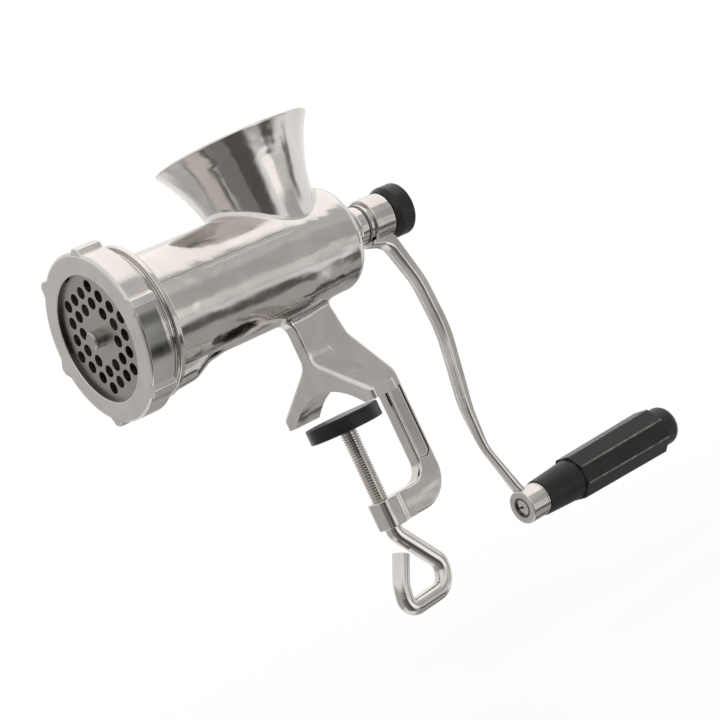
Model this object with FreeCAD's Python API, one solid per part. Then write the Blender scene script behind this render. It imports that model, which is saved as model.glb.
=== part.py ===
import FreeCAD, Part
import math
import os

# Hand-cranked meat grinder that clamps to a table edge. Millimetres.
# Origin: where the axis of the clamp screw meets the plane of the feet.
# +Z is up, +Y points from the outlet towards the crank, and +X completes the frame.

# Barrel, whose axis is level and runs along Y
axis_height = 71.85
outlet_reach = 91.4
barrel_radius = 26.8
barrel_rear_radius = 24.6
barrel_taper_start = 2.0
barrel_rear_start = 26.0
barrel_taper_rounding = 120.0
barrel_shoulder = 34.4
barrel_shoulder_rounding = 5.0
bore_radius = 21.6
bore_end = 33.0
neck_radius = 9.2
neck_front = 47.0
neck_end = 52.3
neck_rounding = 2.5

# Mouth of the barrel, with its outside thread and the flange behind it
mouth_wall = 2.0
thread_height = 1.1
thread_pitch = 3.0
thread_length = 14.2
flange_radius = 34.3
flange_thickness = 2.8
flange_rounding = 0.8
flange_fillet = 2.5
chamber_depth = 10.9

# Keel under the barrel, from the flange backwards
keel_width = 20.0
keel_rounding = 6.5
keel_blend = 12.0
keel_front_depth = 33.4
keel_middle = 15.6
keel_middle_depth = 32.4
keel_foot = 24.6
keel_foot_depth = 28.2
keel_length = 38.0
keel_tail_depth = 26.2

# Hopper, an upright trumpet over the barrel
hopper_offset = 8.3
throat_radius = 23.3
hopper_mouth_radius = 37.1
hopper_height = 56.05
hopper_flare_drop = 2.0
hopper_wall = 2.6
lip_rounding = 0.8
hopper_fillet = 3.0

# Perforated plate, with a slot for the pin in the mouth
plate_radius = 31.0
plate_thickness = 5.0
plate_stand_out = 1.0
plate_hole_radius = 2.72
plate_hole_pitch = 7.56
plate_hole_rings = 3
plate_turn = 68.27
plate_bore_radius = 3.9
key_radius = 1.9
key_reach = 3.2
key_cover = 0.8
key_angle = 99.8

# Knife
knife_thickness = 6.2
knife_radius = 27.5
knife_blades = 4
knife_hub_radius = 9.0
knife_blade_root = 9.5
knife_blade_tip = 5.0
knife_edge_height = 3.6
drive_square = 9.0

# Stud in the nose of the worm
stud_radius = 3.8
stud_stand_out = 5.0
stud_chamfer = 0.6
stud_shank_radius = 4.0
stud_shank_length = 14.0

# Worm and its shaft
worm_pitch = 24.0
worm_core_radius = 9.5
worm_flight = 4.0
worm_flight_taper = 1.0
worm_nose_radius = 12.0
worm_nose_length = 4.0
worm_nose_taper = 10.0
worm_nose_rounding = 3.0
worm_rear_length = 6.0
journal_radius = 6.5
bush_wall = 1.2
thrust_washer_radius = 12.0
thrust_washer_thickness = 1.5
shaft_square = 9.0
shaft_end_gap = 2.4
shaft_tap_radius = 3.0
shaft_tap_depth = 16.0

# Ring nut with its six ribs
ring_radius = 37.35
ring_lip = 2.2
ring_depth = 11.7
ring_opening_radius = 28.0
ring_rounding = 1.5
rib_count = 6
rib_turn = 7.5
rib_height = 2.1
rib_width = 5.0
rib_rounding = 1.2
rib_slope = 0.75
rib_foot = 2.0
rib_foot_slope = 0.7
rib_sink = 0.2

# Bracket: leg, foot plate with an arch, and the arm of the clamp
web_thickness = 7.74
web_rounding = 1.5
foot_front = 5.2
foot_thickness = 14.2
foot_half_width = 36.8
foot_half_arch = 29.4
foot_edge_height = 5.4
foot_slope_height = 24.6
foot_slope_rounding = 11.0
foot_rounding = 2.2
foot_corner_rounding = 2.8
arch_height = 10.5
leg_front_fillet = 13.0
leg_waist = 20.3
leg_waist_height = 30.0
leg_waist_rounding = 9.0
leg_bite = 1.2
leg_top = 17.4
leg_rear_fillet = 4.0
leg_side_fillet = 3.0
arm_inner = 25.0
arm_thickness = 10.1
arm_shoulder_height = 6.0
arm_shoulder_rounding = 8.0
arm_outer_rounding = 16.0
arm_inner_rounding = 8.5
arm_top_rounding = 6.0
jaw_drop = 43.5
jaw_thickness = 12.9
jaw_boss_half_width = 6.6
jaw_boss_rounding = 4.6
jaw_boss_length = 5.2
jaw_boss_shoulder = 4.1
jaw_boss_neck = 8.6
jaw_boss_rear = 12.1
jaw_boss_edge = 0.6
panel_depth = 0.6
panel_width = 7.0
panel_top = 1.0
panel_bottom = 35.3
panel_corner = 0.8

# Clamp screw, bent into an eye, and its pad
screw_radius = 4.0
screw_pitch = 1.25
screw_core_radius = 3.35
rod_radius = 3.9
screw_thread_end = 55.5
pad_radius = 17.3
pad_thickness = 6.9
pad_gap = 2.0
pad_rounding = 0.6
pad_floor = 2.3
pad_cover_radius = 12.0
pad_cover_thickness = 1.6
pad_pocket_radius = 4.3
screw_neck_radius = 2.6
screw_head_radius = 3.9
screw_head_thickness = 2.2
rod_overlap = 0.6

# Bends of the eye: reach from the screw's axis towards the crank, drop below the
# feet, rounding. The rod ends at the tip
eye_bends = [
    (0.0, 59.3, 6.5),
    (15.8, 80.8, 8.0),
    (11.8, 91.4, 8.0),
    (-11.4, 92.4, 7.0),
    (-9.0, 80.6, 20.0),
]
eye_tip = (-2.2, 68.6)

# Crank: hub, arm and the boss that carries the handle
crank_radius = 150.35
hub_radius = 10.8
hub_spigot_radius = 9.5
hub_spigot_length = 2.3
hub_length = 11.8
hub_rounding = 0.8
neck_washer_radius = 9.5
neck_washer_thickness = 1.0
arm_width = 9.0
arm_top_width = 10.2
arm_end_width = 7.0
arm_end_share = 0.97
arm_end_inset = 2.2
arm_end_thickness = 3.2
arm_rounding = 1.3
arm_side_rounding = 40.0
arm_bite = 1.5
arm_inset = 0.2
handle_boss_radius = 8.2
handle_boss_length = 10.3
handle_boss_front = 69.8
handle_boss_rounding = 0.7

# Bends of the crank arm: share of the crank radius below its axis, reach behind
# the front of the hub, rounding. Widths: the same share, width
arm_front_bends = [
    (0.0908, 9.5, 7.0),
    (0.2318, 15.7, 40.0),
    (0.3981, 16.7, 60.0),
    (0.6440, 9.7, 50.0),
    (0.7770, 10.0, 30.0),
]
arm_rear_bends = [
    (0.7800, 12.8, 30.0),
    (0.6470, 13.2, 50.0),
    (0.3981, 20.9, 60.0),
    (0.2318, 20.0, 40.0),
    (0.0908, 14.4, 7.0),
]
arm_widths = [(0.2318, 9.0), (0.61, 8.4), (0.78, 5.2)]

# Knob that holds the crank on, with its moulded-in screw and its washer
knob_radius = 12.4
knob_front_radius = 11.0
knob_length = 10.5
knob_dome = 1.5
knob_bevel = 3.0
knob_rounding = 0.8
knob_washer_radius = 8.0
knob_washer_thickness = 1.0
knob_screw_length = 14.0
knob_screw_head = 6.0
knob_screw_head_radius = 5.0
knob_screw_seat = 0.4
dome_share = 0.55

# Handle
grip_neck_radius = 8.7
grip_neck_rear_radius = 10.0
grip_neck_length = 22.6
grip_panels = 8
grip_panel_length = 58.0
grip_front_across = 10.6
grip_rear_across = 11.4
grip_ridge_rounding = 0.5
grip_cap_radius = 9.9
grip_cap_length = 13.1
grip_cap_dome = 3.0
grip_cap_plug = 3.0
grip_cap_taper = 0.2
grip_cap_shoulder = 4.5
grip_washer_radius = 8.2
grip_washer_thickness = 0.8
spindle_radius = 4.0
spindle_head_radius = 6.5
spindle_head_thickness = 3.0
spindle_slot_width = 1.3
spindle_slot_depth = 1.2
spindle_recess = 0.8

# Clearances
running = 0.05
sliding = 0.3
worm_clearance = 0.6

# Profile of a thread ring as shares of its pitch: foot, both ends of the crest, foot
thread_profile = (0.06, 0.42, 0.58, 0.94)

# Share of a side that a rounding at one of its ends may use
bend_room = 0.49

# Roundings of small edges, and how far a cutting form passes through a face
edge_rounding = 0.4
overshoot = 1.0
touching = 0.01
near = 0.05

# Places along Y that follow from the sizes above
plate_front = -outlet_reach
plate_back = plate_front + plate_thickness
worm_front = plate_back + knife_thickness
mouth_front = plate_front + plate_stand_out
flange_front = mouth_front + thread_length
flange_back = flange_front + flange_thickness
chamber_back = mouth_front + chamber_depth
ring_front = plate_front - ring_lip
ring_back = ring_front + ring_depth
thrust_face = bore_end - thrust_washer_thickness
hub_front = neck_end + neck_washer_thickness
hub_back = hub_front + hub_spigot_length + hub_length
shaft_end = hub_back - shaft_end_gap
boss_back = handle_boss_front + handle_boss_length
grip_front = boss_back + grip_washer_thickness
grip_body_front = grip_front + grip_neck_length
grip_body_back = grip_body_front + grip_panel_length
grip_end = grip_body_back + grip_cap_length
spindle_head_back = grip_body_back - grip_cap_plug - 2.0 * sliding
spindle_head_front = spindle_head_back - spindle_head_thickness

# Radii and heights that follow from them
chamber_radius = plate_radius + running
mouth_radius = chamber_radius + mouth_wall
thread_radius = mouth_radius + thread_height
worm_radius = bore_radius - worm_clearance
bush_radius = journal_radius + bush_wall
handle_height = axis_height - crank_radius
hopper_top = axis_height + hopper_height
junction_bottom = axis_height + math.sqrt(barrel_radius ** 2 - throat_radius ** 2)
flare_start = junction_bottom - hopper_flare_drop
arm_outer = arm_inner + arm_thickness
jaw_top = -jaw_drop
jaw_bottom = jaw_top - jaw_thickness
foot_back = foot_thickness - foot_front
half_web = web_thickness / 2.0
pad_top = -pad_gap
pad_bottom = pad_top - pad_thickness
screw_shoulder = pad_bottom - running

along_y = FreeCAD.Vector(0, 1, 0)
along_z = FreeCAD.Vector(0, 0, 1)
axis_point = FreeCAD.Vector(0, 0, axis_height)


def vector(x, y, z):
    """A point or a direction."""
    return FreeCAD.Vector(x, y, z)


def in_yz(y, z):
    return vector(0, y, z)


def in_xz(x, z):
    return vector(x, 0, z)


def in_xy(x, y):
    return vector(x, y, 0)


def beside_barrel_axis(y, radius):
    """A point of a profile that is turned about the barrel's axis."""
    return vector(-radius, y, axis_height)


def beside_handle_axis(y, radius):
    return vector(0, y, handle_height + radius)


def beside_hopper_axis(radius, z):
    return vector(0, hopper_offset - radius, z)


def beside_screw_axis(radius, z):
    return vector(0, radius, z)


def corner_arc(before, corner, after, radius):
    """Start, middle and end of the arc that rounds a corner, within its two runs."""
    back = before - corner
    ahead = after - corner
    room = bend_room * min(back.Length, ahead.Length)
    back.normalize()
    ahead.normalize()
    half_angle = back.getAngle(ahead) / 2.0
    radius = min(radius, room * math.tan(half_angle))
    reach = radius / math.tan(half_angle)
    bisector = back + ahead
    bisector.normalize()
    middle = corner + bisector * (radius / math.sin(half_angle) - radius)
    return [corner + back * reach, middle, corner + ahead * reach]


def rounded_edges(corners, place, closed):
    """Lines and tangent arcs through (u, v, rounding) corners."""
    points = [vector(corner[0], corner[1], 0) for corner in corners]
    count = len(points)
    stations = []
    for number, point in enumerate(points):
        rounding = corners[number][2]
        inner = closed or 0 < number < count - 1
        if rounding > 0 and inner:
            before = points[number - 1]
            after = points[(number + 1) % count]
            stations.append(corner_arc(before, point, after, rounding))
        else:
            stations.append([point])
    if closed:
        stations.append([stations[0][0]])
    edges = []
    for number, station in enumerate(stations):
        placed = [place(point.x, point.y) for point in station]
        if number > 0 and (placed[0] - previous).Length > 0.001:
            edges.append(Part.makeLine(previous, placed[0]))
        if len(placed) == 3:
            edges.append(Part.Arc(placed[0], placed[1], placed[2]).toShape())
        previous = placed[-1]
    return edges


def rounded_face(corners, place):
    return Part.Face(Part.Wire(rounded_edges(corners, place, True)))


def turned(corners, place, centre, axis):
    """A solid of revolution with a rounded profile."""
    return rounded_face(corners, place).revolve(centre, axis, 360)


def about_barrel(corners):
    return turned(corners, beside_barrel_axis, axis_point, along_y)


def about_handle(corners):
    return turned(corners, beside_handle_axis, vector(0, 0, handle_height), along_y)


def about_hopper(corners):
    return turned(corners, beside_hopper_axis, vector(0, hopper_offset, 0), along_z)


def about_screw(corners):
    return turned(corners, beside_screw_axis, vector(0, 0, 0), along_z)


def barrel_rod(radius, start, end):
    """A plain cylinder on the barrel's axis."""
    return Part.makeCylinder(radius, end - start, vector(0, start, axis_height), along_y)


def handle_rod(radius, start, end):
    return Part.makeCylinder(radius, end - start, vector(0, start, handle_height), along_y)


def screw_rod(radius, bottom, top):
    return Part.makeCylinder(radius, top - bottom, vector(0, 0, bottom), along_z)


def barrel_square(side, start, end):
    """A square bar on the barrel's axis."""
    return Part.makeBox(side, end - start, side, vector(-side / 2.0, start, axis_height - side / 2.0))


def thread_rings(start, end, core, crest, pitch):
    """Profile of turned rings that stand for a thread, as (along, radius) corners."""
    corners = [(start, core)]
    count = int((end - start) / pitch)
    for number in range(count):
        for share, radius in zip(thread_profile, (core, crest, crest, core)):
            corners.append((start + (number + share) * pitch, radius))
    corners.append((end, core))
    return corners


def edges_where(shape, test):
    """The edges whose points, taken at both ends and halfway, all pass the test."""
    chosen = []
    for edge in shape.Edges:
        first, last = edge.ParameterRange
        samples = [edge.valueAt(first + (last - first) * share) for share in (0.02, 0.5, 0.98)]
        if all(test(point) for point in samples):
            chosen.append(edge)
    return chosen


def barrel_outside():
    """Barrel, mouth thread, flange, rounded rear and neck as one turned form."""
    rings = thread_rings(mouth_front, flange_front, mouth_radius, thread_radius, thread_pitch)
    return about_barrel([(mouth_front, 0, 0)] + [(y, radius, 0) for y, radius in rings] + [
        (flange_front, flange_radius, flange_rounding),
        (flange_back, flange_radius, flange_rounding),
        (flange_back, barrel_radius, flange_fillet),
        (barrel_taper_start, barrel_radius, barrel_taper_rounding),
        (barrel_rear_start, barrel_rear_radius, barrel_taper_rounding),
        (barrel_shoulder, barrel_rear_radius, barrel_shoulder_rounding),
        (neck_front, neck_radius, neck_rounding),
        (neck_end, neck_radius, edge_rounding),
        (neck_end, 0, 0),
    ])


def flare_curve_radius(spread):
    """Radius of the arc that leaves the throat upright and gains the spread at the mouth."""
    rise = hopper_top - flare_start
    return (rise ** 2 + spread ** 2) / (2.0 * spread)


def hopper_radius_at(z):
    """Outer radius of the hopper at a height."""
    rise = z - flare_start
    flare_radius = flare_curve_radius(hopper_mouth_radius - throat_radius)
    return throat_radius + flare_radius - math.sqrt(flare_radius ** 2 - rise ** 2)


def on_circle(centre, radius, angle):
    """A point of a circle in the plane of the profile, by its angle above level."""
    return centre + vector(0, radius * math.cos(angle), radius * math.sin(angle))


def hopper_form(mouth, throat, lip):
    """Trumpet between a throat radius and a mouth radius, filled down to the barrel's axis."""
    flare_radius = flare_curve_radius(mouth - throat)
    flare_centre = beside_hopper_axis(throat + flare_radius, flare_start)
    lip_angle = math.asin((hopper_top - lip - flare_start) / (flare_radius + lip))
    lip_centre = on_circle(flare_centre, flare_radius + lip, lip_angle)
    low = beside_hopper_axis(throat, flare_start)
    high = on_circle(flare_centre, flare_radius, lip_angle)
    over = lip_centre + vector(0, 0, lip)
    edges = [Part.Arc(low, on_circle(flare_centre, flare_radius, lip_angle / 2.0), high).toShape()]
    if lip > 0:
        half_turn = (lip_angle + math.pi / 2.0) / 2.0
        over_middle = on_circle(lip_centre, lip, math.pi - half_turn)
        edges.append(Part.Arc(high, over_middle, over).toShape())
    rest = [over, beside_hopper_axis(0, hopper_top), beside_hopper_axis(0, axis_height)]
    rest += [beside_hopper_axis(throat, axis_height), low]
    for start, end in zip(rest, rest[1:]):
        edges.append(Part.makeLine(start, end))
    return Part.Face(Part.Wire(edges)).revolve(vector(0, hopper_offset, 0), along_z, 360)


def keel():
    """Rib that runs back from the flange along the underside of the barrel."""
    inside = axis_height - bore_radius + keel_rounding / 2.0
    lead = flange_back - overshoot
    tail = flange_front + keel_length
    face = rounded_face([
        (lead, inside, 0),
        (lead, axis_height - keel_front_depth, 0),
        (flange_front + keel_middle, axis_height - keel_middle_depth, keel_blend),
        (flange_front + keel_foot, axis_height - keel_foot_depth, keel_blend),
        (tail, axis_height - keel_tail_depth, 0),
        (tail, inside, 0),
    ], in_yz)
    face.translate(vector(-keel_width / 2.0, 0, 0))
    rib = face.extrude(vector(keel_width, 0, 0))

    def on_a_side(point):
        below = point.z < inside - touching
        between = lead + touching < point.y < tail - touching
        return below and between and abs(abs(point.x) - keel_width / 2.0) < touching

    return rib.makeFillet(keel_rounding, edges_where(rib, on_a_side))


def bracket_web():
    """Leg and clamp arm, one flat plate in the plane of the barrel's axis."""
    seat = axis_height - barrel_radius + leg_bite
    rear_seat = axis_height - barrel_rear_radius + leg_bite
    inside = rear_seat + 2.0 * leg_front_fillet / 3.0
    front = -foot_front
    lead = front - leg_front_fillet - overshoot
    tail = leg_top + leg_rear_fillet + overshoot
    face = rounded_face([
        (lead, inside, 0),
        (lead, seat, 0),
        (front, seat, leg_front_fillet),
        (front, arch_height, 0),
        (arm_inner, arch_height, arm_top_rounding),
        (arm_inner, jaw_top, arm_inner_rounding),
        (0, jaw_top, 0),
        (0, jaw_bottom, 0),
        (arm_outer, jaw_bottom, arm_outer_rounding),
        (arm_outer, arm_shoulder_height, arm_shoulder_rounding),
        (leg_waist, leg_waist_height, leg_waist_rounding),
        (leg_top, rear_seat, leg_rear_fillet),
        (tail, rear_seat, 0),
        (tail, inside, 0),
    ], in_yz)
    face.translate(vector(-half_web, 0, 0))
    plate = face.extrude(vector(web_thickness, 0, 0))

    def on_a_side(point):
        below_barrel = point.z < seat + leg_bite / 2.0
        clear_of_boss = point.y > touching or point.z > arch_height
        return abs(abs(point.x) - half_web) < touching and below_barrel and clear_of_boss

    return plate.makeFillet(web_rounding, edges_where(plate, on_a_side))


def foot_plate():
    """Cross plate with two feet, an arch between them and concave shoulders."""
    top = foot_slope_height + foot_slope_rounding
    right_half = [
        (foot_half_width, 0, 0),
        (foot_half_width, foot_edge_height, foot_corner_rounding),
        (half_web, foot_slope_height, foot_slope_rounding),
        (half_web, top, 0),
    ]
    left_half = [(-x, z, rounding) for x, z, rounding in reversed(right_half)]
    face = rounded_face(right_half + left_half, in_xz)
    face.translate(vector(0, -foot_front, 0))
    plate = face.extrude(vector(0, foot_thickness, 0))

    def on_an_outline(point):
        on_face = min(abs(point.y + foot_front), abs(point.y - foot_back)) < touching
        return on_face and touching < point.z < top - touching

    plate = plate.makeFillet(foot_rounding, edges_where(plate, on_an_outline))
    arch_radius = (foot_half_arch ** 2 + arch_height ** 2) / (2.0 * arch_height)
    centre = vector(0, -foot_front - overshoot, arch_height - arch_radius)
    arch = Part.makeCylinder(arch_radius, foot_thickness + 2.0 * overshoot, centre, along_y)
    return plate.cut(arch)


def jaw_boss():
    """Lug round the clamp screw at the end of the lower jaw."""
    half = jaw_boss_half_width
    side = [
        (half_web, jaw_boss_rear + overshoot, 0),
        (half_web, jaw_boss_neck, jaw_boss_rounding),
        (half, jaw_boss_shoulder, jaw_boss_rounding),
        (half, -jaw_boss_length, jaw_boss_rounding),
    ]
    other_side = [(-x, y, rounding) for x, y, rounding in reversed(side)]
    face = rounded_face(side + other_side, in_xy)
    face.translate(vector(0, 0, jaw_bottom))
    boss = face.extrude(vector(0, 0, jaw_thickness))

    def on_an_end(point):
        on_face = min(abs(point.z - jaw_bottom), abs(point.z - jaw_top)) < touching
        return on_face and point.y < jaw_boss_rear

    return boss.makeFillet(jaw_boss_edge, edges_where(boss, on_an_end))


def arm_panels():
    """Shallow stadium-shaped recesses in both side faces of the clamp arm."""
    half = panel_width / 2.0
    centre = arm_inner + arm_thickness / 2.0
    face = rounded_face([
        (centre - half, -panel_top, panel_corner),
        (centre + half, -panel_top, panel_corner),
        (centre + half, -panel_bottom, half),
        (centre - half, -panel_bottom, half),
    ], in_yz)
    recesses = []
    for side in (-1, 1):
        blank = face.copy()
        blank.translate(vector(side * (half_web - panel_depth), 0, 0))
        recesses.append(blank.extrude(vector(side * (panel_depth + overshoot), 0, 0)))
    return recesses


def key_place(radius):
    """A point on the axis of the plate's key, at a radius from the barrel's axis."""
    angle = math.radians(key_angle)
    middle = (mouth_front + plate_back) / 2.0
    return vector(radius * math.cos(angle), middle, axis_height + radius * math.sin(angle))


def key_pin(radius):
    """Pin across the mouth that enters the slot of the plate."""
    inner = plate_radius - key_reach
    direction = key_place(1.0) - key_place(0.0)
    length = mouth_radius - key_cover - inner
    return Part.makeCylinder(radius, length, key_place(inner), direction)


def make_body_casting():
    """Barrel, hopper, leg, feet and clamp arm in one piece."""
    barrel = barrel_outside()
    hopper = hopper_form(hopper_mouth_radius, throat_radius, lip_rounding)
    upper = barrel.fuse(hopper)

    def on_the_junction(point):
        from_hopper = math.hypot(point.x, point.y - hopper_offset)
        from_barrel = math.hypot(point.x, point.z - axis_height)
        near_hopper = abs(from_hopper - hopper_radius_at(point.z)) < near
        above_axis = point.z > axis_height + barrel_radius / 4.0
        return above_axis and near_hopper and from_barrel < barrel_radius + near

    upper = upper.makeFillet(hopper_fillet, edges_where(upper, on_the_junction))
    lower = bracket_web().fuse([foot_plate(), jaw_boss(), keel()])
    casting = upper.fuse(lower)

    def round_the_leg(point):
        lowest = axis_height - barrel_radius - near
        under = lowest < point.z < axis_height - barrel_rear_radius + leg_bite
        behind_keel = point.y > flange_front + keel_length
        return under and behind_keel and abs(point.x) < half_web + touching

    casting = casting.makeFillet(leg_side_fillet, edges_where(casting, round_the_leg))
    cavities = [
        barrel_rod(chamber_radius, mouth_front - overshoot, chamber_back),
        barrel_rod(bore_radius, mouth_front, bore_end),
        barrel_rod(bush_radius, bore_end - overshoot, neck_end + overshoot),
        hopper_form(hopper_mouth_radius - hopper_wall, throat_radius - hopper_wall, 0),
        screw_rod(screw_radius + running, jaw_bottom - overshoot, jaw_top + overshoot),
        key_pin(key_radius),
    ]
    return casting.cut(cavities + arm_panels())


def make_plate_key():
    """Pin that keeps the plate from turning."""
    return key_pin(key_radius)


def make_rear_bush():
    """Bearing sleeve of the shaft in the neck."""
    sleeve = barrel_rod(bush_radius, bore_end, neck_end)
    return sleeve.cut(barrel_rod(journal_radius + running, bore_end, neck_end))


def make_thrust_washer():
    """Disc between the worm's shoulder and the end of the bore."""
    washer = barrel_rod(thrust_washer_radius, thrust_face, bore_end)
    return washer.cut(barrel_rod(journal_radius + running, thrust_face, bore_end))


def make_neck_washer():
    """Disc between the neck and the hub of the crank."""
    washer = barrel_rod(neck_washer_radius, neck_end, hub_front)
    return washer.cut(barrel_rod(journal_radius + running, neck_end, hub_front))


def worm_thread():
    """Left-handed flight, so that a clockwise crank drives food to the plate."""
    start = worm_front + worm_nose_length
    length = thrust_face - worm_rear_length - worm_flight - start
    path = Part.makeHelix(worm_pitch, length, worm_core_radius, 0, True)
    root = worm_core_radius - overshoot
    half = worm_flight / 2.0
    foot = half + worm_flight_taper
    corners = [(root, -foot), (worm_radius, -half), (worm_radius, half), (root, foot)]
    points = [vector(radius, 0, height) for radius, height in corners]
    profile = Part.makePolygon(points + points[:1])
    flight = Part.Wire(path.Edges).makePipeShell([profile], True, True)
    flight.rotate(vector(0, 0, 0), vector(1, 0, 0), -90)
    flight.translate(vector(0, start, axis_height))
    return flight


def make_worm():
    """Worm with its journal and the square end that carries the crank."""
    core = about_barrel([
        (worm_front, 0, 0),
        (worm_front, worm_nose_radius, edge_rounding),
        (worm_front + worm_nose_length, worm_nose_radius, edge_rounding),
        (worm_front + worm_nose_taper, worm_core_radius, worm_nose_rounding),
        (thrust_face - worm_rear_length, worm_core_radius, 1.0),
        (thrust_face - worm_rear_length / 2.0, thrust_washer_radius, edge_rounding),
        (thrust_face, thrust_washer_radius, edge_rounding),
        (thrust_face, journal_radius, 0),
        (hub_front, journal_radius, 0),
        (hub_front, 0, 0),
    ])
    worm = core.fuse([worm_thread(), barrel_square(shaft_square, hub_front - overshoot, shaft_end)])
    stud_hole = barrel_rod(stud_shank_radius, worm_front, worm_front + stud_shank_length)
    knob_hole = barrel_rod(shaft_tap_radius + running, shaft_end - shaft_tap_depth, shaft_end)
    return worm.cut([stud_hole, knob_hole])


def make_worm_stud():
    """Stud that carries the knife on its square and ends in the middle of the plate."""
    tip = plate_front - stud_stand_out
    square = barrel_square(drive_square, plate_back + sliding, worm_front)
    pin = barrel_rod(stud_radius, tip, plate_back + sliding)
    pin = pin.makeChamfer(stud_chamfer, edges_where(pin, lambda point: point.y < tip + touching))
    shank = barrel_rod(stud_shank_radius, worm_front, worm_front + stud_shank_length)
    return square.fuse([pin, shank])


def make_knife():
    """Cross knife whose cutting edges lie against the back of the plate."""
    hub = barrel_rod(knife_hub_radius, plate_back, worm_front)
    blade = rounded_face([
        (-knife_blade_root / 2.0, 0, 0),
        (knife_blade_root / 2.0, 0, 0),
        (knife_blade_tip / 2.0, knife_radius, edge_rounding),
        (-knife_blade_tip / 2.0, knife_radius, edge_rounding),
    ], in_xz).extrude(vector(0, knife_edge_height, 0))
    blade.translate(vector(0, plate_back, axis_height))
    blades = []
    for number in range(knife_blades):
        copy = blade.copy()
        copy.rotate(axis_point, along_y, number * 360.0 / knife_blades)
        blades.append(copy)
    side = drive_square + 2.0 * running
    hole = barrel_square(side, plate_back - overshoot, worm_front + overshoot)
    return hub.fuse(blades).cut(hole)


def hole_places():
    """Hexagonal lattice points about the axis, in rings 2 and up."""
    places = []
    for first in range(-plate_hole_rings, plate_hole_rings + 1):
        for second in range(-plate_hole_rings, plate_hole_rings + 1):
            ring = max(abs(first), abs(second), abs(first + second))
            if ring < 2 or ring > plate_hole_rings:
                continue
            along = plate_hole_pitch * (first + second / 2.0)
            across = plate_hole_pitch * second * math.sqrt(3.0) / 2.0
            angle = math.radians(plate_turn)
            x = along * math.cos(angle) - across * math.sin(angle)
            z = along * math.sin(angle) + across * math.cos(angle)
            places.append((x, z))
    return places


def make_plate():
    """Perforated disc with a slot at its edge for the pin."""
    disc = barrel_rod(plate_radius, plate_front, plate_back)
    cuts = [barrel_rod(plate_bore_radius, plate_front, plate_back)]
    for x, z in hole_places():
        start = vector(x, plate_front, axis_height + z)
        cuts.append(Part.makeCylinder(plate_hole_radius, plate_thickness, start, along_y))
    half_slot = key_radius + sliding
    slot_depth = key_reach + sliding
    corner = vector(plate_radius - slot_depth, plate_front, -half_slot)
    slot = Part.makeBox(slot_depth + overshoot, plate_thickness, 2.0 * half_slot, corner)
    slot.rotate(vector(0, 0, 0), along_y, -key_angle)
    slot.translate(axis_point)
    cuts.append(slot)
    return disc.cut(cuts)


def nut_rib():
    """One rib of the ring nut, upright over the origin of its turn."""
    half = rib_width / 2.0
    outer = ring_radius + rib_height
    foot_radius = ring_radius - rib_sink
    face = rounded_face([
        (-half - rib_foot, foot_radius - rib_foot_slope, 0),
        (-half - rib_foot / 2.0, foot_radius, rib_rounding),
        (-half + rib_slope, outer, rib_rounding),
        (half - rib_slope, outer, rib_rounding),
        (half + rib_foot / 2.0, foot_radius, rib_rounding),
        (half + rib_foot, foot_radius - rib_foot_slope, 0),
    ], in_xz)
    face.translate(vector(0, ring_front, 0))
    rib = face.extrude(vector(0, ring_depth, 0))

    def on_an_end(point):
        at_end = min(abs(point.y - ring_front), abs(point.y - ring_back)) < touching
        return at_end and point.z > ring_radius - rib_foot_slope

    return rib.makeFillet(edge_rounding, edges_where(rib, on_an_end))


def make_ring_nut():
    """Nut whose lip holds the plate, with ribs for the hand."""
    ring = about_barrel([
        (ring_front, ring_opening_radius, edge_rounding),
        (ring_front, ring_radius, ring_rounding),
        (ring_back, ring_radius, edge_rounding),
        (ring_back, thread_radius + running, 0),
        (plate_front, thread_radius + running, 0),
        (plate_front, ring_opening_radius, 0),
    ])
    rib = nut_rib()
    ribs = []
    for number in range(rib_count):
        copy = rib.copy()
        turn = 90.0 - rib_turn - number * 360.0 / rib_count
        copy.rotate(vector(0, 0, 0), along_y, turn)
        copy.translate(axis_point)
        ribs.append(copy)
    return ring.fuse(ribs).removeSplitter()


def arm_bends(bends):
    """Corners of the arm's side profile, from its bends below the crank's axis."""
    corners = []
    for share, reach, rounding in bends:
        corners.append((hub_front + reach, axis_height - share * crank_radius, rounding))
    return corners


def crank_arm_band():
    """Side profile of the arm, from the hub to the handle boss."""
    top = axis_height - hub_radius + arm_bite
    foot = axis_height - arm_end_share * crank_radius
    shoulder = top - arm_bite - sliding
    front = [(hub_front + arm_inset, top, 0), (hub_front + arm_inset, shoulder, edge_rounding)]
    front += arm_bends(arm_front_bends) + [(handle_boss_front + arm_end_inset, foot, 0)]
    rear = [(handle_boss_front + arm_end_inset + arm_end_thickness, foot, 0)]
    rear += arm_bends(arm_rear_bends) + [(hub_back - arm_end_inset / 2.0, top, 0)]
    face = rounded_face(front + rear, in_yz)
    face.translate(vector(-arm_width, 0, 0))
    return face.extrude(vector(2.0 * arm_width, 0, 0))


def crank_arm_outline():
    """Front view of the arm, which narrows towards the handle."""
    half_widths = [(0, arm_top_width / 2.0)] + [(share, width / 2.0) for share, width in arm_widths]
    right = [(x, axis_height - share * crank_radius, arm_side_rounding) for share, x in half_widths]
    right.append((arm_end_width / 2.0, axis_height - arm_end_share * crank_radius, 0))
    left = [(-x, z, rounding) for x, z, rounding in reversed(right)]
    face = rounded_face(right + left, in_xz)
    return face.extrude(vector(0, 2.0 * handle_boss_front, 0))


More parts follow.
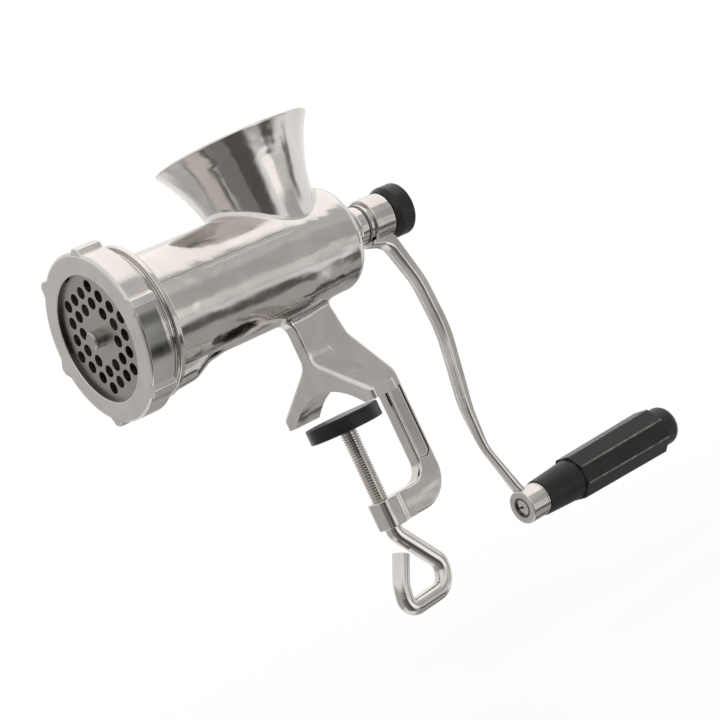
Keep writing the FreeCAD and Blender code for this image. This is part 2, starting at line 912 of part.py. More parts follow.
def make_crank_arm():
    """Hub, curved arm and the boss that carries the handle's spindle."""
    band = crank_arm_band().common(crank_arm_outline())

    def long_edge(point):
        above_end = point.z > axis_height - arm_end_share * crank_radius + overshoot / 2.0
        return above_end and point.z < axis_height - hub_radius and abs(point.x) > overshoot

    band = band.makeFillet(arm_rounding, edges_where(band, long_edge))
    hub = about_barrel([
        (hub_front, 0, 0),
        (hub_front, hub_spigot_radius, edge_rounding),
        (hub_front + hub_spigot_length, hub_spigot_radius, 0),
        (hub_front + hub_spigot_length, hub_radius, hub_rounding),
        (hub_back, hub_radius, hub_rounding),
        (hub_back, 0, 0),
    ])
    boss = about_handle([
        (handle_boss_front, 0, 0),
        (handle_boss_front, handle_boss_radius, handle_boss_rounding),
        (boss_back, handle_boss_radius, edge_rounding),
        (boss_back, 0, 0),
    ])
    crank = hub.fuse([band, boss])
    side = shaft_square + 2.0 * running
    square = barrel_square(side, hub_front - overshoot, hub_back + overshoot)
    tapped = handle_rod(spindle_radius, handle_boss_front - overshoot, boss_back + overshoot)
    return crank.cut([square, tapped])


def make_knob_washer():
    """Washer between the knob and the hub."""
    washer_back = hub_back + knob_washer_thickness
    washer = barrel_rod(knob_washer_radius, hub_back, washer_back)
    return washer.cut(barrel_rod(shaft_tap_radius + sliding, hub_back, washer_back))


def make_knob_screw():
    """Screw whose head is moulded into the knob."""
    seat = hub_back + knob_washer_thickness + knob_screw_seat
    head_end = seat + knob_screw_head
    shank = barrel_rod(shaft_tap_radius, shaft_end - knob_screw_length + shaft_end_gap, seat)
    head = barrel_rod(knob_screw_head_radius, seat, head_end)
    return shank.fuse(head)


def make_crank_knob():
    """Round knob that is turned by hand to hold the crank."""
    knob_back = hub_back + knob_length
    knob = about_barrel([
        (hub_back, 0, 0),
        (hub_back, knob_front_radius, edge_rounding),
        (hub_back + knob_bevel, knob_radius, 2.0 * knob_rounding),
        (knob_back, knob_radius, knob_rounding),
        (knob_back + knob_dome, knob_radius * dome_share, knob_radius),
        (knob_back + knob_dome, 0, 0),
    ])
    recess_back = hub_back + knob_washer_thickness + 2.0 * running
    recess = barrel_rod(knob_washer_radius + sliding, hub_back, recess_back)
    return knob.cut([recess, make_knob_screw()])


def make_handle_spindle():
    """Rod with a slotted end in the boss and a head inside the grip."""
    front = handle_boss_front + spindle_recess
    rod = handle_rod(spindle_radius, front, spindle_head_front)
    head = handle_rod(spindle_head_radius, spindle_head_front, spindle_head_back)
    corner = vector(-2.0 * spindle_radius, front, handle_height - spindle_slot_width / 2.0)
    slot = Part.makeBox(4.0 * spindle_radius, spindle_slot_depth, spindle_slot_width, corner)
    return rod.fuse(head).cut(slot)


def make_grip_washer():
    """Washer between the boss and the grip."""
    washer = handle_rod(grip_washer_radius, boss_back, grip_front)
    return washer.cut(handle_rod(spindle_radius + running, boss_back, grip_front))


def grip_panel_prism():
    """Eight-sided tapering prism that gives the handle its flats and ridges."""
    rings = []
    for y, across in ((grip_body_front, grip_front_across), (grip_body_back, grip_rear_across)):
        corner = across / math.cos(math.pi / grip_panels)
        points = []
        for number in range(grip_panels + 1):
            angle = 2.0 * math.pi * (number + 0.5) / grip_panels
            points.append(vector(corner * math.cos(angle), y, handle_height + corner * math.sin(angle)))
        rings.append(points)
    front, back = rings
    faces = [Part.Face(Part.makePolygon(points)) for points in rings]
    for number in range(grip_panels):
        outline = [front[number], front[number + 1], back[number + 1], back[number], front[number]]
        faces.append(Part.Face(Part.makePolygon(outline)))
    prism = Part.makeSolid(Part.makeShell(faces))

    def off_the_ends(point):
        return grip_body_front + touching < point.y < grip_body_back - touching

    return prism.makeFillet(grip_ridge_rounding, edges_where(prism, off_the_ends))


def make_handle_grip():
    """Grip with a round neck and eight flats, hollow for the spindle."""
    neck_back = grip_body_front + overshoot
    neck = about_handle([
        (grip_front, 0, 0),
        (grip_front, grip_neck_radius, edge_rounding),
        (grip_body_front, grip_neck_rear_radius, 0),
        (neck_back, grip_neck_rear_radius, 0),
        (neck_back, 0, 0),
    ])
    bore = handle_rod(spindle_radius + running, grip_front - overshoot, grip_body_back)
    pocket_front = spindle_head_front - 2.0 * running
    pocket = handle_rod(spindle_head_radius + sliding, pocket_front, grip_body_back)
    return neck.fuse(grip_panel_prism()).cut([bore, pocket])


def make_grip_end_cap():
    """Rounded cap that closes the grip, with a plug in its hollow."""
    plug_radius = spindle_head_radius + sliding
    plug_front = grip_body_back - grip_cap_plug
    return about_handle([
        (plug_front, 0, 0),
        (plug_front, plug_radius, edge_rounding),
        (grip_body_back, plug_radius, 0),
        (grip_body_back, grip_cap_radius, edge_rounding / 2.0),
        (grip_end - grip_cap_dome, grip_cap_radius - grip_cap_taper, grip_cap_shoulder),
        (grip_end, grip_cap_radius * dome_share, 2.0 * grip_cap_shoulder),
        (grip_end, 0, 0),
    ])


def threaded_rod():
    """Threaded length of the clamp screw, up to the shoulder under the pad."""
    start = -screw_thread_end
    rings = thread_rings(start, screw_shoulder, screw_core_radius, screw_radius, screw_pitch)
    corners = [(radius, z, 0) for z, radius in rings]
    return about_screw([(0, start, 0)] + corners + [(0, screw_shoulder, 0)])


def eye_rod():
    """Bent rod below the thread, in the plane of the crank's axis."""
    top = rod_overlap - screw_thread_end
    corners = [(0, top, 0)]
    corners += [(reach, -drop, rounding) for reach, drop, rounding in eye_bends]
    corners.append((eye_tip[0], -eye_tip[1], 0))
    path = Part.Wire(rounded_edges(corners, in_yz, False))
    circle = Part.makeCircle(rod_radius, vector(0, 0, top), -along_z)
    return path.makePipe(Part.Face(Part.Wire(circle)))


def make_clamp_screw():
    """Clamp screw with its eye below and the head that the pad turns on."""
    head_bottom = pad_bottom + pad_floor + sliding
    neck = screw_rod(screw_neck_radius, screw_shoulder, head_bottom)
    head = screw_rod(screw_head_radius, head_bottom, head_bottom + screw_head_thickness)
    return threaded_rod().fuse([neck, head, eye_rod()])


def make_clamp_pad():
    """Round pad with a pocket for the head of the screw."""
    pad = about_screw([
        (0, pad_bottom, 0),
        (pad_radius, pad_bottom, pad_rounding),
        (pad_radius, pad_top, pad_rounding),
        (0, pad_top, 0),
    ])
    neck_hole = screw_rod(screw_neck_radius + sliding, pad_bottom, pad_top)
    pocket = screw_rod(pad_pocket_radius, pad_bottom + pad_floor, pad_top)
    cover_seat = screw_rod(pad_cover_radius, pad_top - pad_cover_thickness, pad_top)
    return pad.cut([neck_hole, pocket, cover_seat])


def make_pad_cover():
    """Disc that closes the pocket."""
    return screw_rod(pad_cover_radius, pad_top - pad_cover_thickness, pad_top)


makers = {
    "body_casting": make_body_casting,
    "plate_key": make_plate_key,
    "rear_bush": make_rear_bush,
    "thrust_washer": make_thrust_washer,
    "neck_washer": make_neck_washer,
    "worm": make_worm,
    "worm_stud": make_worm_stud,
    "knife": make_knife,
    "plate": make_plate,
    "ring_nut": make_ring_nut,
    "crank_arm": make_crank_arm,
    "knob_washer": make_knob_washer,
    "crank_knob": make_crank_knob,
    "knob_screw": make_knob_screw,
    "handle_spindle": make_handle_spindle,
    "grip_washer": make_grip_washer,
    "handle_grip": make_handle_grip,
    "grip_end_cap": make_grip_end_cap,
    "clamp_screw": make_clamp_screw,
    "clamp_pad": make_clamp_pad,
    "pad_cover": make_pad_cover,
}

os.makedirs("parts", exist_ok=True)
for name, make in makers.items():
    make().exportStep("parts/" + name + ".step")
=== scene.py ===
import bpy
import math
from mathutils import Matrix, Vector

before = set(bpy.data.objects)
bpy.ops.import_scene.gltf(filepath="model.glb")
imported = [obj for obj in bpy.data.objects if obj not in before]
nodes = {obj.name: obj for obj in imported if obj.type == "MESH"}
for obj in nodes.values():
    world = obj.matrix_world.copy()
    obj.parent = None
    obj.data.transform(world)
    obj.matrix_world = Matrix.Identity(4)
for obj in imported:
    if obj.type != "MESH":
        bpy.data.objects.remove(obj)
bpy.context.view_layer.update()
scene = bpy.context.scene

# Lengths are in metres and angles in radians, unless a comment says otherwise. A place on a piece is given
# in the row frame, which is the frame of the CAD nodes' object coordinates.
BARREL_AXIS = 0.07185
HANDLE_AXIS = -0.0785


# ---- nodes

class Nodes:
    """A node tree with a short call for each kind of node that the looks are made of."""

    def __init__(self, tree):
        self.tree = tree

    def put(self, value, socket):
        """Link an output to a socket, or leave a constant on it."""
        if isinstance(value, bpy.types.NodeSocket):
            self.tree.links.new(value, socket)
        elif socket.type == "RGBA":
            socket.default_value = (*value, 1.0)
        else:
            socket.default_value = value

    def add(self, kind, inputs=None):
        node = self.tree.nodes.new(kind)
        for key, value in (inputs or {}).items():
            self.put(value, node.inputs[key])
        return node

    def place(self, kind="Object"):
        return self.add("ShaderNodeTexCoord").outputs[kind]

    def stretched_place(self, scale):
        return self.add("ShaderNodeMapping", {"Vector": self.place(), "Scale": scale}).outputs["Vector"]

    def parts(self, vector):
        node = self.add("ShaderNodeSeparateXYZ", {"Vector": vector})
        return node.outputs["X"], node.outputs["Y"], node.outputs["Z"]

    def unit(self, vector):
        node = self.add("ShaderNodeVectorMath", {0: vector})
        node.operation = "NORMALIZE"
        return node.outputs["Vector"]

    def maths(self, operation, first, second=0.0):
        node = self.add("ShaderNodeMath", {0: first, 1: second})
        node.operation = operation
        return node.outputs["Value"]

    def product(self, *factors):
        result = factors[0]
        for factor in factors[1:]:
            result = self.maths("MULTIPLY", result, factor)
        return result

    def length(self, first, second):
        return self.maths("SQRT", self.maths("ADD", self.product(first, first), self.product(second, second)))

    def ranged(self, value, low, high, to_low=0.0, to_high=1.0, form="LINEAR"):
        """Carry a value from the range low to high over to the range to_low to to_high, and no further."""
        node = self.add("ShaderNodeMapRange", {
            "Value": value, "From Min": low, "From Max": high, "To Min": to_low, "To Max": to_high})
        node.interpolation_type = form
        return node.outputs["Result"]

    def smooth(self, value, low, high, to_low=0.0, to_high=1.0):
        """The same with a soft start and a soft end."""
        return self.ranged(value, low, high, to_low, to_high, "SMOOTHSTEP")

    def band(self, value, low, high, soft):
        """1 between low and high, falling to 0 over the length soft on either side."""
        return self.product(self.smooth(value, low - soft, low),
                            self.smooth(value, high, high + soft, 1.0, 0.0))

    def noise(self, vector, scale, detail, rough, distortion=0.0):
        node = self.add("ShaderNodeTexNoise", {
            "Vector": vector, "Scale": scale, "Detail": detail, "Roughness": rough, "Distortion": distortion})
        return node.outputs["Fac"]

    def mixed(self, kind, factor, first, second):
        """A blend of two colours (kind RGBA) or two vectors (kind VECTOR)."""
        node = self.add("ShaderNodeMix")
        node.data_type = kind
        self.put(factor, node.inputs["Factor"])
        starts, ends = ([socket for socket in node.inputs if socket.name == name and socket.type == kind]
                        for name in ("A", "B"))
        self.put(first, starts[0])
        self.put(second, ends[0])
        return next(socket for socket in node.outputs if socket.type == kind)

    def mixed_shader(self, factor, first, second):
        return self.add("ShaderNodeMixShader", {0: factor, 1: first, 2: second}).outputs[0]

    def bump(self, height, distance, normal=None):
        node = self.add("ShaderNodeBump", {"Height": height, "Distance": distance, "Strength": 1.0})
        if normal is not None:
            self.put(normal, node.inputs["Normal"])
        return node.outputs["Normal"]


def new_material(name):
    material = bpy.data.materials.new(name)
    material.use_nodes = True
    return material


# A noise is given by its scale, detail and roughness, and where a fourth number follows, its distortion.
# NOISE_RANGE is the range that its values mostly keep to.
NOISE_RANGE = (0.3, 0.7)
EVEN = (1.0, 1.0, 1.0)


# ---- metals

class Metal(Nodes):
    """Polished metal: cloudy tone and polish, long waves in the surface and a few fine scratches.

    wave and grain are the heights of the waves and of the scratches, and a stretch below 1 draws both out
    along that axis.
    """

    CLOUDS = (42.0, 4.0, 0.6, 0.8)
    SMEARS = (70.0, 5.0, 0.65, 1.5)
    WAVES = (46.0, 2.0, 0.5, 0.6)
    SCRATCHES = (1500.0, 3.0, 0.6)
    SMEARED = (0.4, 0.7)
    SCRATCHED = (0.5, 0.8)
    # Share of the tone that the scratches set, and what they add to the roughness.
    SCRATCH_TONE = 0.2
    SCRATCH_ROUGHNESS = 0.04
    # How far up a face looks where lean starts to turn it, and where it turns it fully.
    UPWARD = (0.15, 0.5)

    def __init__(self, name, light, dark, rough, wave, grain, stretch=EVEN):
        self.material = new_material(name)
        super().__init__(self.material.node_tree)
        plain, drawn = self.stretched_place(EVEN), self.stretched_place(stretch)
        clouds = self.noise(plain, *self.CLOUDS)
        smears = self.noise(plain, *self.SMEARS)
        waves = self.noise(drawn, *self.WAVES)
        scratches = self.noise(drawn, *self.SCRATCHES)
        tone = self.maths("ADD", self.ranged(clouds, *NOISE_RANGE, 0.0, 1.0 - self.SCRATCH_TONE),
                          self.ranged(scratches, *NOISE_RANGE, 0.0, self.SCRATCH_TONE))
        self.colour = self.mixed("RGBA", tone, dark, light)
        self.rough = self.maths("ADD", self.ranged(smears, *self.SMEARED, *rough),
                                self.ranged(scratches, *self.SCRATCHED, 0.0, self.SCRATCH_ROUGHNESS))
        self.normal = self.bump(scratches, grain, self.bump(waves, wave))

    # Paints a colour over the masked places: the dark parting line, and painted shade and painted highlights.
    def paint_over(self, mask, amount, colour):
        self.colour = self.mixed("RGBA", self.product(mask, amount), self.colour, colour)

    def dull(self, mask, amount):
        self.rough = self.maths("ADD", self.rough, self.product(mask, amount))

    def lean(self, mask, sideways, back, down):
        """Turn the shaded normal of faces that look upwards, as a soft blend into the face below would."""
        true_normal = self.add("ShaderNodeNewGeometry").outputs["True Normal"]
        upward = self.smooth(self.parts(true_normal)[2], *self.UPWARD)
        target = self.add("ShaderNodeCombineXYZ", {"X": sideways, "Y": back, "Z": down}).outputs["Vector"]
        self.normal = self.unit(self.mixed("VECTOR", self.product(mask, upward), self.normal, target))

    def bulge(self, sideways):
        """Tilt the shaded normal along X by a share of its length, as on a rounded face."""
        tilt = self.add("ShaderNodeCombineXYZ", {"X": sideways}).outputs["Vector"]
        total = self.add("ShaderNodeVectorMath", {0: self.normal, 1: tilt}).outputs["Vector"]
        self.normal = self.unit(total)

    def finished(self):
        shader = self.tree.nodes["Principled BSDF"]
        self.put(1.0, shader.inputs["Metallic"])
        self.put(self.colour, shader.inputs["Base Color"])
        self.put(self.rough, shader.inputs["Roughness"])
        self.put(self.normal, shader.inputs["Normal"])
        return self.material


WARM_LIGHT = (0.72, 0.69, 0.66)
WARM_DARK = (0.58, 0.55, 0.52)
# Painted shade in hollows: the groove round the arm's panel, the lines of the mouth's thread, the inside of the
# ring nut's lip and the gap round the spindle's end.
HOLLOW_SHADE = (0.05, 0.045, 0.04)
SEAM = (0.20, 0.18, 0.16)
# Painted in place of shade or gleam in the photograph: they stay on their pieces and don't follow the light.
PANEL_SHADE = (0.22, 0.20, 0.185)
RING_SHADE = (0.13, 0.135, 0.13)
BORDER_GLEAM = (0.80, 0.78, 0.75)
RIDGE_GLEAM = (0.95, 0.93, 0.90)


# Ranges of places and angles: low end, high end and, where a third number follows, the width of the soft
# edges. The ranges along X are distances from the middle plane.
BARREL_SKIN_RADIUS = (0.0262, 0.0274, 0.0004)
LINE_NOISE = (220.0, 3.0, 0.6)
LINE_WANDER = 0.012
PARTING_ANGLE = (0.366, 0.374, 0.012)
PARTING_Y = (-0.074, -0.004, 0.003)
RIDGE_ANGLE = (0.298, 0.304, 0.010)
RIDGE_Y = (-0.046, -0.002, 0.006)

PANEL_X = (0.0020, 0.0034, 0.0001)
PANEL_Y = (0.0264, 0.0337, 0.0002)
PANEL_Z = (-0.0356, -0.0008, 0.0002)
PANEL_MIDDLE_Y = 0.03005
PANEL_ROUNDING_Z = -0.03195
GROOVE_FROM_MIDDLE = (0.00305, 0.0040, 0.00015)
BORDER_FROM_MIDDLE = (0.0025, 0.0029, 0.00015)

THREAD_Y = (-0.0830, -0.0764, 0.0004)
THREAD_RADIUS = (0.0260, 0.0265)
THREAD_LINE_PITCH = 0.0011
THREAD_LINE_COSINE = (-0.2, 0.6)

LEDGE_X = (0.0028, 0.0050)
LEDGE_Y = (-0.0058, 0.0100, 0.0005)
LEDGE_Z = (0.0050, 0.0330, 0.0020)
LEDGE_LEAN_Y, LEDGE_LEAN_Z = -0.08, -0.06


def casting_material():
    """The casting, its parting line, and painted shade and highlights on the arm's panel, the mouth's thread
    and the barrel.
    """
    metal = Metal("cast_metal", WARM_LIGHT, WARM_DARK, rough=(0.10, 0.19), wave=0.00100, grain=0.0000015,
                  stretch=(1.0, 0.6, 1.0))
    x, y, z = metal.parts(metal.place())
    above_axis = metal.maths("SUBTRACT", z, BARREL_AXIS)
    radius = metal.length(x, above_axis)
    off_middle = metal.maths("ABSOLUTE", x)

    # Two lines along the barrel, at angles that wander a little: the dark parting line, and a painted highlight
    # along a low raised strip beside it.
    on_barrel = metal.band(radius, *BARREL_SKIN_RADIUS)
    wander = metal.noise(metal.stretched_place(EVEN), *LINE_NOISE)
    angle = metal.maths("ADD", metal.maths("ARCTAN2", above_axis, x),
                        metal.ranged(wander, *NOISE_RANGE, -LINE_WANDER, LINE_WANDER))
    parting = metal.product(on_barrel, metal.band(angle, *PARTING_ANGLE), metal.band(y, *PARTING_Y))
    metal.paint_over(parting, 0.5, SEAM)
    # A painted highlight along a low raised strip beside the parting line.
    ridge = metal.product(on_barrel, metal.band(angle, *RIDGE_ANGLE), metal.band(y, *RIDGE_Y))
    metal.paint_over(ridge, 0.7, RIDGE_GLEAM)

    # The panel has a round end, so its groove and border keep their distance from its middle line.
    in_panel = metal.product(metal.band(off_middle, *PANEL_X), metal.band(y, *PANEL_Y),
                             metal.band(z, *PANEL_Z))
    # Painted shade over the recessed panel, which is also made rougher.
    metal.paint_over(in_panel, 0.45, PANEL_SHADE)
    metal.dull(in_panel, 0.22)
    past_end = metal.maths("MINIMUM", metal.maths("SUBTRACT", z, PANEL_ROUNDING_Z), 0.0)
    from_middle = metal.length(metal.maths("SUBTRACT", y, PANEL_MIDDLE_Y), past_end)
    # Painted shade in the groove round the panel and a painted highlight on its border.
    metal.paint_over(metal.product(in_panel, metal.band(from_middle, *GROOVE_FROM_MIDDLE)), 0.8, HOLLOW_SHADE)
    metal.paint_over(metal.product(in_panel, metal.band(from_middle, *BORDER_FROM_MIDDLE)), 0.7, BORDER_GLEAM)

    # Painted shade lines where the mouth's thread shows behind the ring nut.
    lines = metal.maths("COSINE", metal.product(y, 2.0 * math.pi / THREAD_LINE_PITCH))
    behind_ring = metal.product(metal.band(y, *THREAD_Y), metal.smooth(radius, *THREAD_RADIUS),
                                metal.smooth(lines, *THREAD_LINE_COSINE))
    metal.paint_over(behind_ring, 0.8, HOLLOW_SHADE)

    # The ledge between leg and feet is more rounded on the real casting than on the solid.
    ledge = metal.product(metal.smooth(off_middle, *LEDGE_X), metal.band(y, *LEDGE_Y),
                          metal.band(z, *LEDGE_Z))
    metal.lean(metal.product(ledge, 0.80), metal.maths("SIGN", x), LEDGE_LEAN_Y, LEDGE_LEAN_Z)
    return metal.finished()


SPINDLE_SEAT_RADIUS = (0.0052, 0.0047)
SPINDLE_SEAT_Y = (0.0690, 0.0712, 0.0003)
ARM_SIDE_X = (0.0004, 0.0046)
ARM_SIDE_TILT = 1.3
ARM_Z = (-0.0680, 0.0600, 0.0030)


def arm_material():
    """The crank arm, shaded as a rounded bar, with painted shade round the end of the spindle."""
    metal = Metal("arm_metal", WARM_LIGHT, (0.52, 0.49, 0.46), rough=(0.09, 0.20), wave=0.00020,
                  grain=0.000002, stretch=(1.0, 1.0, 0.15))
    x, y, z = metal.parts(metal.place())
    from_handle = metal.length(x, metal.maths("SUBTRACT", z, HANDLE_AXIS))
    # Painted shade in the gap round the spindle's end.
    spindle_seat = metal.product(metal.smooth(from_handle, *SPINDLE_SEAT_RADIUS),
                                 metal.band(y, *SPINDLE_SEAT_Y))
    metal.paint_over(spindle_seat, 0.9, HOLLOW_SHADE)
    tilt = metal.smooth(metal.maths("ABSOLUTE", x), *ARM_SIDE_X, 0.0, ARM_SIDE_TILT)
    metal.bulge(metal.product(metal.maths("SIGN", x), tilt, metal.band(z, *ARM_Z)))
    return metal.finished()


RING_FRONT_Y = (-0.0950, -0.0930, 0.0003)
LIP_RADIUS = (0.0270, 0.0282, 0.0002)
LIP_Y = (-0.0930, -0.0910, 0.0003)
RING_SHADE_ANGLE = (-0.42, -0.04, 0.10)
RING_SHADE_RADIUS = (0.0362, 0.0368)
RING_SHADE_Y = (-0.0922, -0.0835, 0.0006)


def ring_material():
    """The ring nut: a duller front, a line of painted shade inside its lip and a dark patch painted on its
    side.

    The patch stands for a dark reflection in the photograph, and turns with the nut.
    """
    metal = Metal("ring_metal", WARM_LIGHT, (0.60, 0.57, 0.54), rough=(0.10, 0.20), wave=0.00012,
                  grain=0.000002)
    x, y, z = metal.parts(metal.place())
    above_axis = metal.maths("SUBTRACT", z, BARREL_AXIS)
    radius = metal.length(x, above_axis)
    metal.dull(metal.band(y, *RING_FRONT_Y), 0.22)
    # A line of painted shade inside the lip.
    metal.paint_over(metal.product(metal.band(radius, *LIP_RADIUS), metal.band(y, *LIP_Y)), 0.9, HOLLOW_SHADE)
    angle = metal.maths("ARCTAN2", above_axis, x)
    patch = metal.product(metal.band(angle, *RING_SHADE_ANGLE), metal.smooth(radius, *RING_SHADE_RADIUS),
                          metal.band(y, *RING_SHADE_Y))
    metal.paint_over(patch, 0.85, RING_SHADE)
    return metal.finished()


# ---- plastics

PLASTIC_PATCHES = (70.0, 4.0, 0.6)
GRAIN_DETAIL, GRAIN_ROUGHNESS = 3.0, 0.6
GRIP_FLATS = 8
# The cosine over the flats is -1 on each edge between two of them.
GRIP_EDGE_COSINE = (-0.93, -0.995)
GRIP_EDGE_Y = (0.1040, 0.1050)
GRIP_EDGE_NOISE = (300.0, 3.0, 0.6)
GRIP_EDGE_NOISE_RANGE = (0.35, 0.65)
GRIP_EDGE_SHARE = (0.35, 1.0)
# Painted highlight on the edges between the grip's flats.
GRIP_EDGE_GLEAM = (0.17, 0.17, 0.16)


def plastic(name, light, dark, rough, shine, grain_scale, grain_depth, ridged=False):
    """Dark plastic with a slight grain. ridged paints pale highlight lines on the edges between the flats of
    the grip.
    """
    material = new_material(name)
    look = Nodes(material.node_tree)
    plain = look.stretched_place(EVEN)
    patches = look.noise(plain, *PLASTIC_PATCHES)
    grain = look.noise(plain, grain_scale, GRAIN_DETAIL, GRAIN_ROUGHNESS)
    colour = look.mixed("RGBA", look.ranged(patches, *NOISE_RANGE), dark, light)
    if ridged:
        x, y, z = look.parts(look.place())
        angle = look.maths("ARCTAN2", look.maths("SUBTRACT", z, HANDLE_AXIS), x)
        cosine = look.maths("COSINE", look.product(angle, float(GRIP_FLATS)))
        # Painted highlight lines along the edges between the flats.
        share = look.ranged(look.noise(plain, *GRIP_EDGE_NOISE), *GRIP_EDGE_NOISE_RANGE, *GRIP_EDGE_SHARE)
        edges = look.product(look.smooth(cosine, *GRIP_EDGE_COSINE), look.smooth(y, *GRIP_EDGE_Y), share)
        colour = look.mixed("RGBA", edges, colour, GRIP_EDGE_GLEAM)
    shader = material.node_tree.nodes["Principled BSDF"]
    look.put(colour, shader.inputs["Base Color"])
    look.put(look.ranged(patches, *NOISE_RANGE, *rough), shader.inputs["Roughness"])
    look.put(look.bump(grain, grain_depth), shader.inputs["Normal"])
    look.put(shine, shader.inputs["Specular IOR Level"])
    return material


# ---- the dressing of the CAD nodes

cast_metal = casting_material()
arm_metal = arm_material()
ring_metal = ring_material()
plate_metal = Metal("plate_metal", (0.44, 0.41, 0.39), (0.35, 0.33, 0.31),
                    rough=(0.30, 0.42), wave=0.00002, grain=0.000002).finished()
bright_metal = Metal("bright_metal", (0.74, 0.71, 0.68), (0.58, 0.55, 0.53),
                     rough=(0.06, 0.16), wave=0.00004, grain=0.000002, stretch=(1.0, 1.0, 0.3)).finished()
worm_metal = Metal("worm_metal", (0.50, 0.48, 0.45), (0.36, 0.34, 0.32),
                   rough=(0.25, 0.42), wave=0.00008, grain=0.000004).finished()
bronze = Metal("bronze", (0.70, 0.50, 0.26), (0.52, 0.36, 0.18),
               rough=(0.20, 0.32), wave=0.00002, grain=0.000002).finished()
washer_metal = Metal("washer_metal", (0.24, 0.23, 0.22), (0.15, 0.14, 0.13),
                     rough=(0.3, 0.5), wave=0.00002, grain=0.000004).finished()
black_plastic = plastic("black_plastic", (0.014, 0.014, 0.013), (0.008, 0.008, 0.0075),
                        rough=(0.25, 0.40), shine=0.28, grain_scale=2600.0, grain_depth=0.00002)
grip_plastic = plastic("grip_plastic", (0.016, 0.016, 0.0145), (0.009, 0.009, 0.008),
                       rough=(0.26, 0.40), shine=0.22, grain_scale=2200.0, grain_depth=0.00003, ridged=True)
fibre = plastic("fibre", (0.030, 0.028, 0.025), (0.016, 0.015, 0.014),
                rough=(0.6, 0.8), shine=0.3, grain_scale=3000.0, grain_depth=0.00004)

dressing = {
    "body_casting": cast_metal,
    "plate_key": bright_metal,
    "rear_bush": bronze,
    "thrust_washer": fibre,
    "neck_washer": washer_metal,
    "worm": worm_metal,
    "worm_stud": plate_metal,
    "knife": plate_metal,
    "plate": plate_metal,
    "ring_nut": ring_metal,
    "crank_arm": arm_metal,
    "knob_washer": bright_metal,
    "crank_knob": black_plastic,
    "knob_screw": bright_metal,
    "handle_spindle": bright_metal,
    "grip_washer": bright_metal,
    "handle_grip": grip_plastic,
    "grip_end_cap": black_plastic,
    "clamp_screw": bright_metal,
    "clamp_pad": black_plastic,
    "pad_cover": black_plastic,
}
for name, material in dressing.items():
    mesh = nodes[name].data
    mesh.materials.clear()
    mesh.materials.append(material)


# ---- floor and world

WHITE = (1.0, 1.0, 1.0)
FLOOR_COLOUR = (0.9, 0.9, 0.9)
FLOOR_ROUGHNESS = 0.9
FLOOR_CENTRE = (0.0, 0.03, -0.140)
FLOOR_SIDE = 12.0
# The floor glows white where it is seen. Near the object its glow is less and leaves room for the shadow.
SHADOW_REACH = (0.10, 0.55)
FLOOR_GLOW = (0.86, 1.0)
WORLD_LIGHT = 0.5
WORLD_SEEN = 1.0


def stage_plane(name, centre, normal, width, height, material):
    half_w, half_h = width / 2.0, height / 2.0
    mesh = bpy.data.meshes.new(name)
    corners = [(-half_w, -half_h, 0), (half_w, -half_h, 0), (half_w, half_h, 0), (-half_w, half_h, 0)]
    mesh.from_pydata(corners, [], [(0, 1, 2, 3)])
    mesh.materials.append(material)
    plane = bpy.data.objects.new(name, mesh)
    plane.location = centre
    plane.rotation_euler = Vector(normal).to_track_quat("Z", "Y").to_euler()
    scene.collection.objects.link(plane)
    return plane


def seen_directly(look):
    """1 for camera, glossy and transmission rays, 0 for the others."""
    path = look.add("ShaderNodeLightPath")
    either = look.maths("MAXIMUM", path.outputs["Is Camera Ray"], path.outputs["Is Glossy Ray"])
    return look.maths("MAXIMUM", either, path.outputs["Is Transmission Ray"])


def floor_glow(look):
    distance = look.add("ShaderNodeVectorMath", {0: look.place()})
    distance.operation = "LENGTH"
    return look.ranged(distance.outputs["Value"], *SHADOW_REACH, *FLOOR_GLOW)


floor_material = new_material("pale_floor")
look = Nodes(floor_material.node_tree)
shader = look.tree.nodes["Principled BSDF"]
look.put(FLOOR_COLOUR, shader.inputs["Base Color"])
look.put(FLOOR_ROUGHNESS, shader.inputs["Roughness"])
look.put(0.0, shader.inputs["Specular IOR Level"])
glow = look.add("ShaderNodeEmission", {"Color": WHITE})
share = look.product(seen_directly(look), floor_glow(look))
surface = look.mixed_shader(share, shader.outputs[0], glow.outputs[0])
look.put(surface, look.tree.nodes["Material Output"].inputs["Surface"])
floor = stage_plane("floor", FLOOR_CENTRE, (0, 0, 1), FLOOR_SIDE, FLOOR_SIDE, floor_material)
floor.visible_glossy = False

world = bpy.data.worlds.new("studio")
scene.world = world
world.use_nodes = True
world.node_tree.nodes.clear()
look = Nodes(world.node_tree)
soft = look.add("ShaderNodeBackground", {"Color": WHITE, "Strength": WORLD_LIGHT})
white = look.add("ShaderNodeBackground", {"Color": WHITE, "Strength": WORLD_SEEN})
surface = look.mixed_shader(seen_directly(look), soft.outputs[0], white.outputs[0])
look.add("ShaderNodeOutputWorld", {"Surface": surface})


# ---- lamps, which reflections don't see

LAMP_TARGET = Vector((0, 0, 0.04))


def lamp(name, place, side, power):
    data = bpy.data.lights.new(name, "AREA")
    data.shape = "RECTANGLE"
    data.size = data.size_y = side
    data.energy = power
    lamp_object = bpy.data.objects.new(name, data)
    lamp_object.location = place
    lamp_object.visible_glossy = False
    lamp_object.rotation_euler = (LAMP_TARGET - Vector(place)).to_track_quat("-Z", "Y").to_euler()
    scene.collection.objects.link(lamp_object)


lamp("key", (0.55, -0.75, 0.9), 0.7, 7.0)
lamp("fill", (0.9, 0.35, 0.25), 0.5, 2.5)
lamp("back", (-0.6, 0.4, 0.8), 0.5, 4.0)


# ---- studio cards, which only reflections see, fitted to the photograph's reflections

CARD_TARGET = Vector((0, 0, 0.05))
CARD_COLOUR = (1.0, 0.985, 0.965)
CARD_DISTANCE = {"wide": 2.4, "mid": 2.0, "near": 1.6}
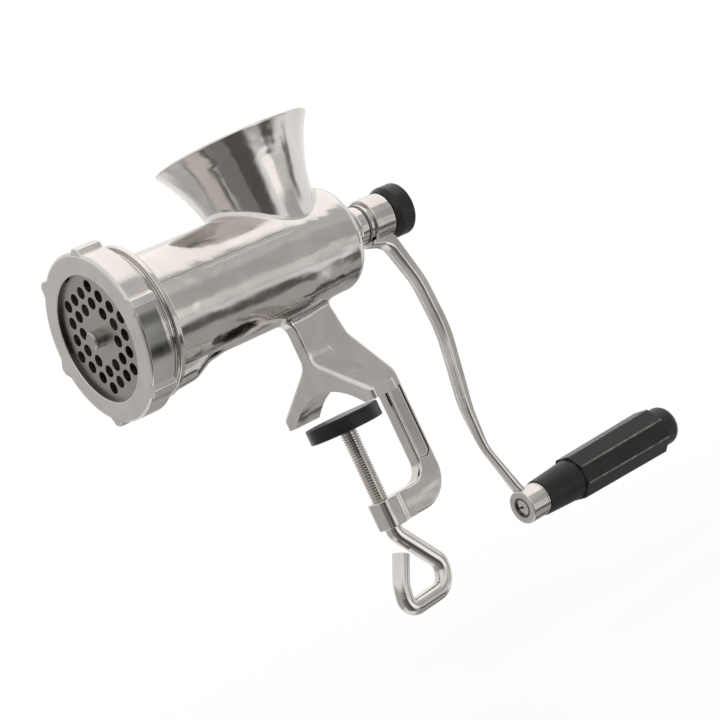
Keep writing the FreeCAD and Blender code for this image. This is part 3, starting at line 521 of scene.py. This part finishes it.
# Name, whose first word sets the distance; azimuth, elevation, half width and half height in degrees as the
# object sees them; level.
CARDS = (
    ("wide_left", -112, -12, 58, 34, 0.55),
    ("wide_right", 35, -4, 26, 30, 0.52),
    ("wide_upper", 46, 32, 20, 20, 0.62),
    ("wide_below", 80, -64, 50, 30, 0.45),
    ("wide_behind", 140, -24, 20, 26, 0.42),
    ("wide_front", -22, -32, 22, 46, 0.11),
    ("wide_shade", -54, -30, 28, 46, 0.24),
    ("mid_above", 95, 56, 44, 26, 1.35),
    ("mid_gleam", 38, -18, 18, 8, 0.80),
    ("mid_low", 50, -43, 18, 6, 0.13),
    ("mid_deep", 121, -47, 14, 6, 0.11),
    ("near_box", 18, -24, 12, 18, 1.4),
    ("near_edge", 63, -16, 8, 16, 0.22),
    ("near_lip", 37, -42, 9, 9, 0.10),
)


def soft_edge(look, coordinate):
    """1 in the middle half of a card, falling to 0 at its edge, for a coordinate that runs from 0 to 1."""
    middle, edge = 0.5, 0.5
    off_middle = look.maths("ABSOLUTE", look.maths("SUBTRACT", coordinate, middle))
    return look.smooth(off_middle, edge / 2.0, edge, 1.0, 0.0)


def card_material(name, level):
    material = new_material(name)
    material.node_tree.nodes.clear()
    look = Nodes(material.node_tree)
    across, up, _ = look.parts(look.place("Generated"))
    mask = look.product(soft_edge(look, across), soft_edge(look, up))
    clear = look.add("ShaderNodeBsdfTransparent")
    tone = look.add("ShaderNodeEmission", {"Color": CARD_COLOUR, "Strength": level})
    surface = look.mixed_shader(mask, clear.outputs[0], tone.outputs[0])
    look.add("ShaderNodeOutputMaterial", {"Surface": surface})
    return material


for name, azimuth, elevation, half_width, half_height, level in CARDS:
    turn, rise = math.radians(azimuth), math.radians(elevation)
    unit = Vector((math.cos(rise) * math.cos(turn), math.cos(rise) * math.sin(turn), math.sin(rise)))
    distance = CARD_DISTANCE[name.split("_")[0]]
    card = stage_plane(name, CARD_TARGET + unit * distance, -unit,
                       2.0 * distance * math.tan(math.radians(half_width)),
                       2.0 * distance * math.tan(math.radians(half_height)),
                       card_material(name, level))
    card.visible_camera = False
    card.visible_diffuse = False
    card.visible_shadow = False


# ---- camera, at the photograph's angle

CAMERA_PLACE = (0.6970, -0.4658, 0.0391)
CAMERA_RIGHT = (0.5288, 0.7354, -0.4237)
CAMERA_UP = (0.2232, 0.3611, 0.9054)
CAMERA_BACK = (0.8189, -0.5734, 0.0268)

camera_data = bpy.data.cameras.new("camera")
camera_data.sensor_width = 36.0
camera_data.lens = 95.0
camera_data.clip_start = 0.01
camera = bpy.data.objects.new("camera", camera_data)
rotation = Matrix((CAMERA_RIGHT, CAMERA_UP, CAMERA_BACK)).transposed()
camera.matrix_world = Matrix.Translation(CAMERA_PLACE) @ rotation.to_4x4()
scene.collection.objects.link(camera)
scene.camera = camera

scene.view_settings.view_transform = "Standard"
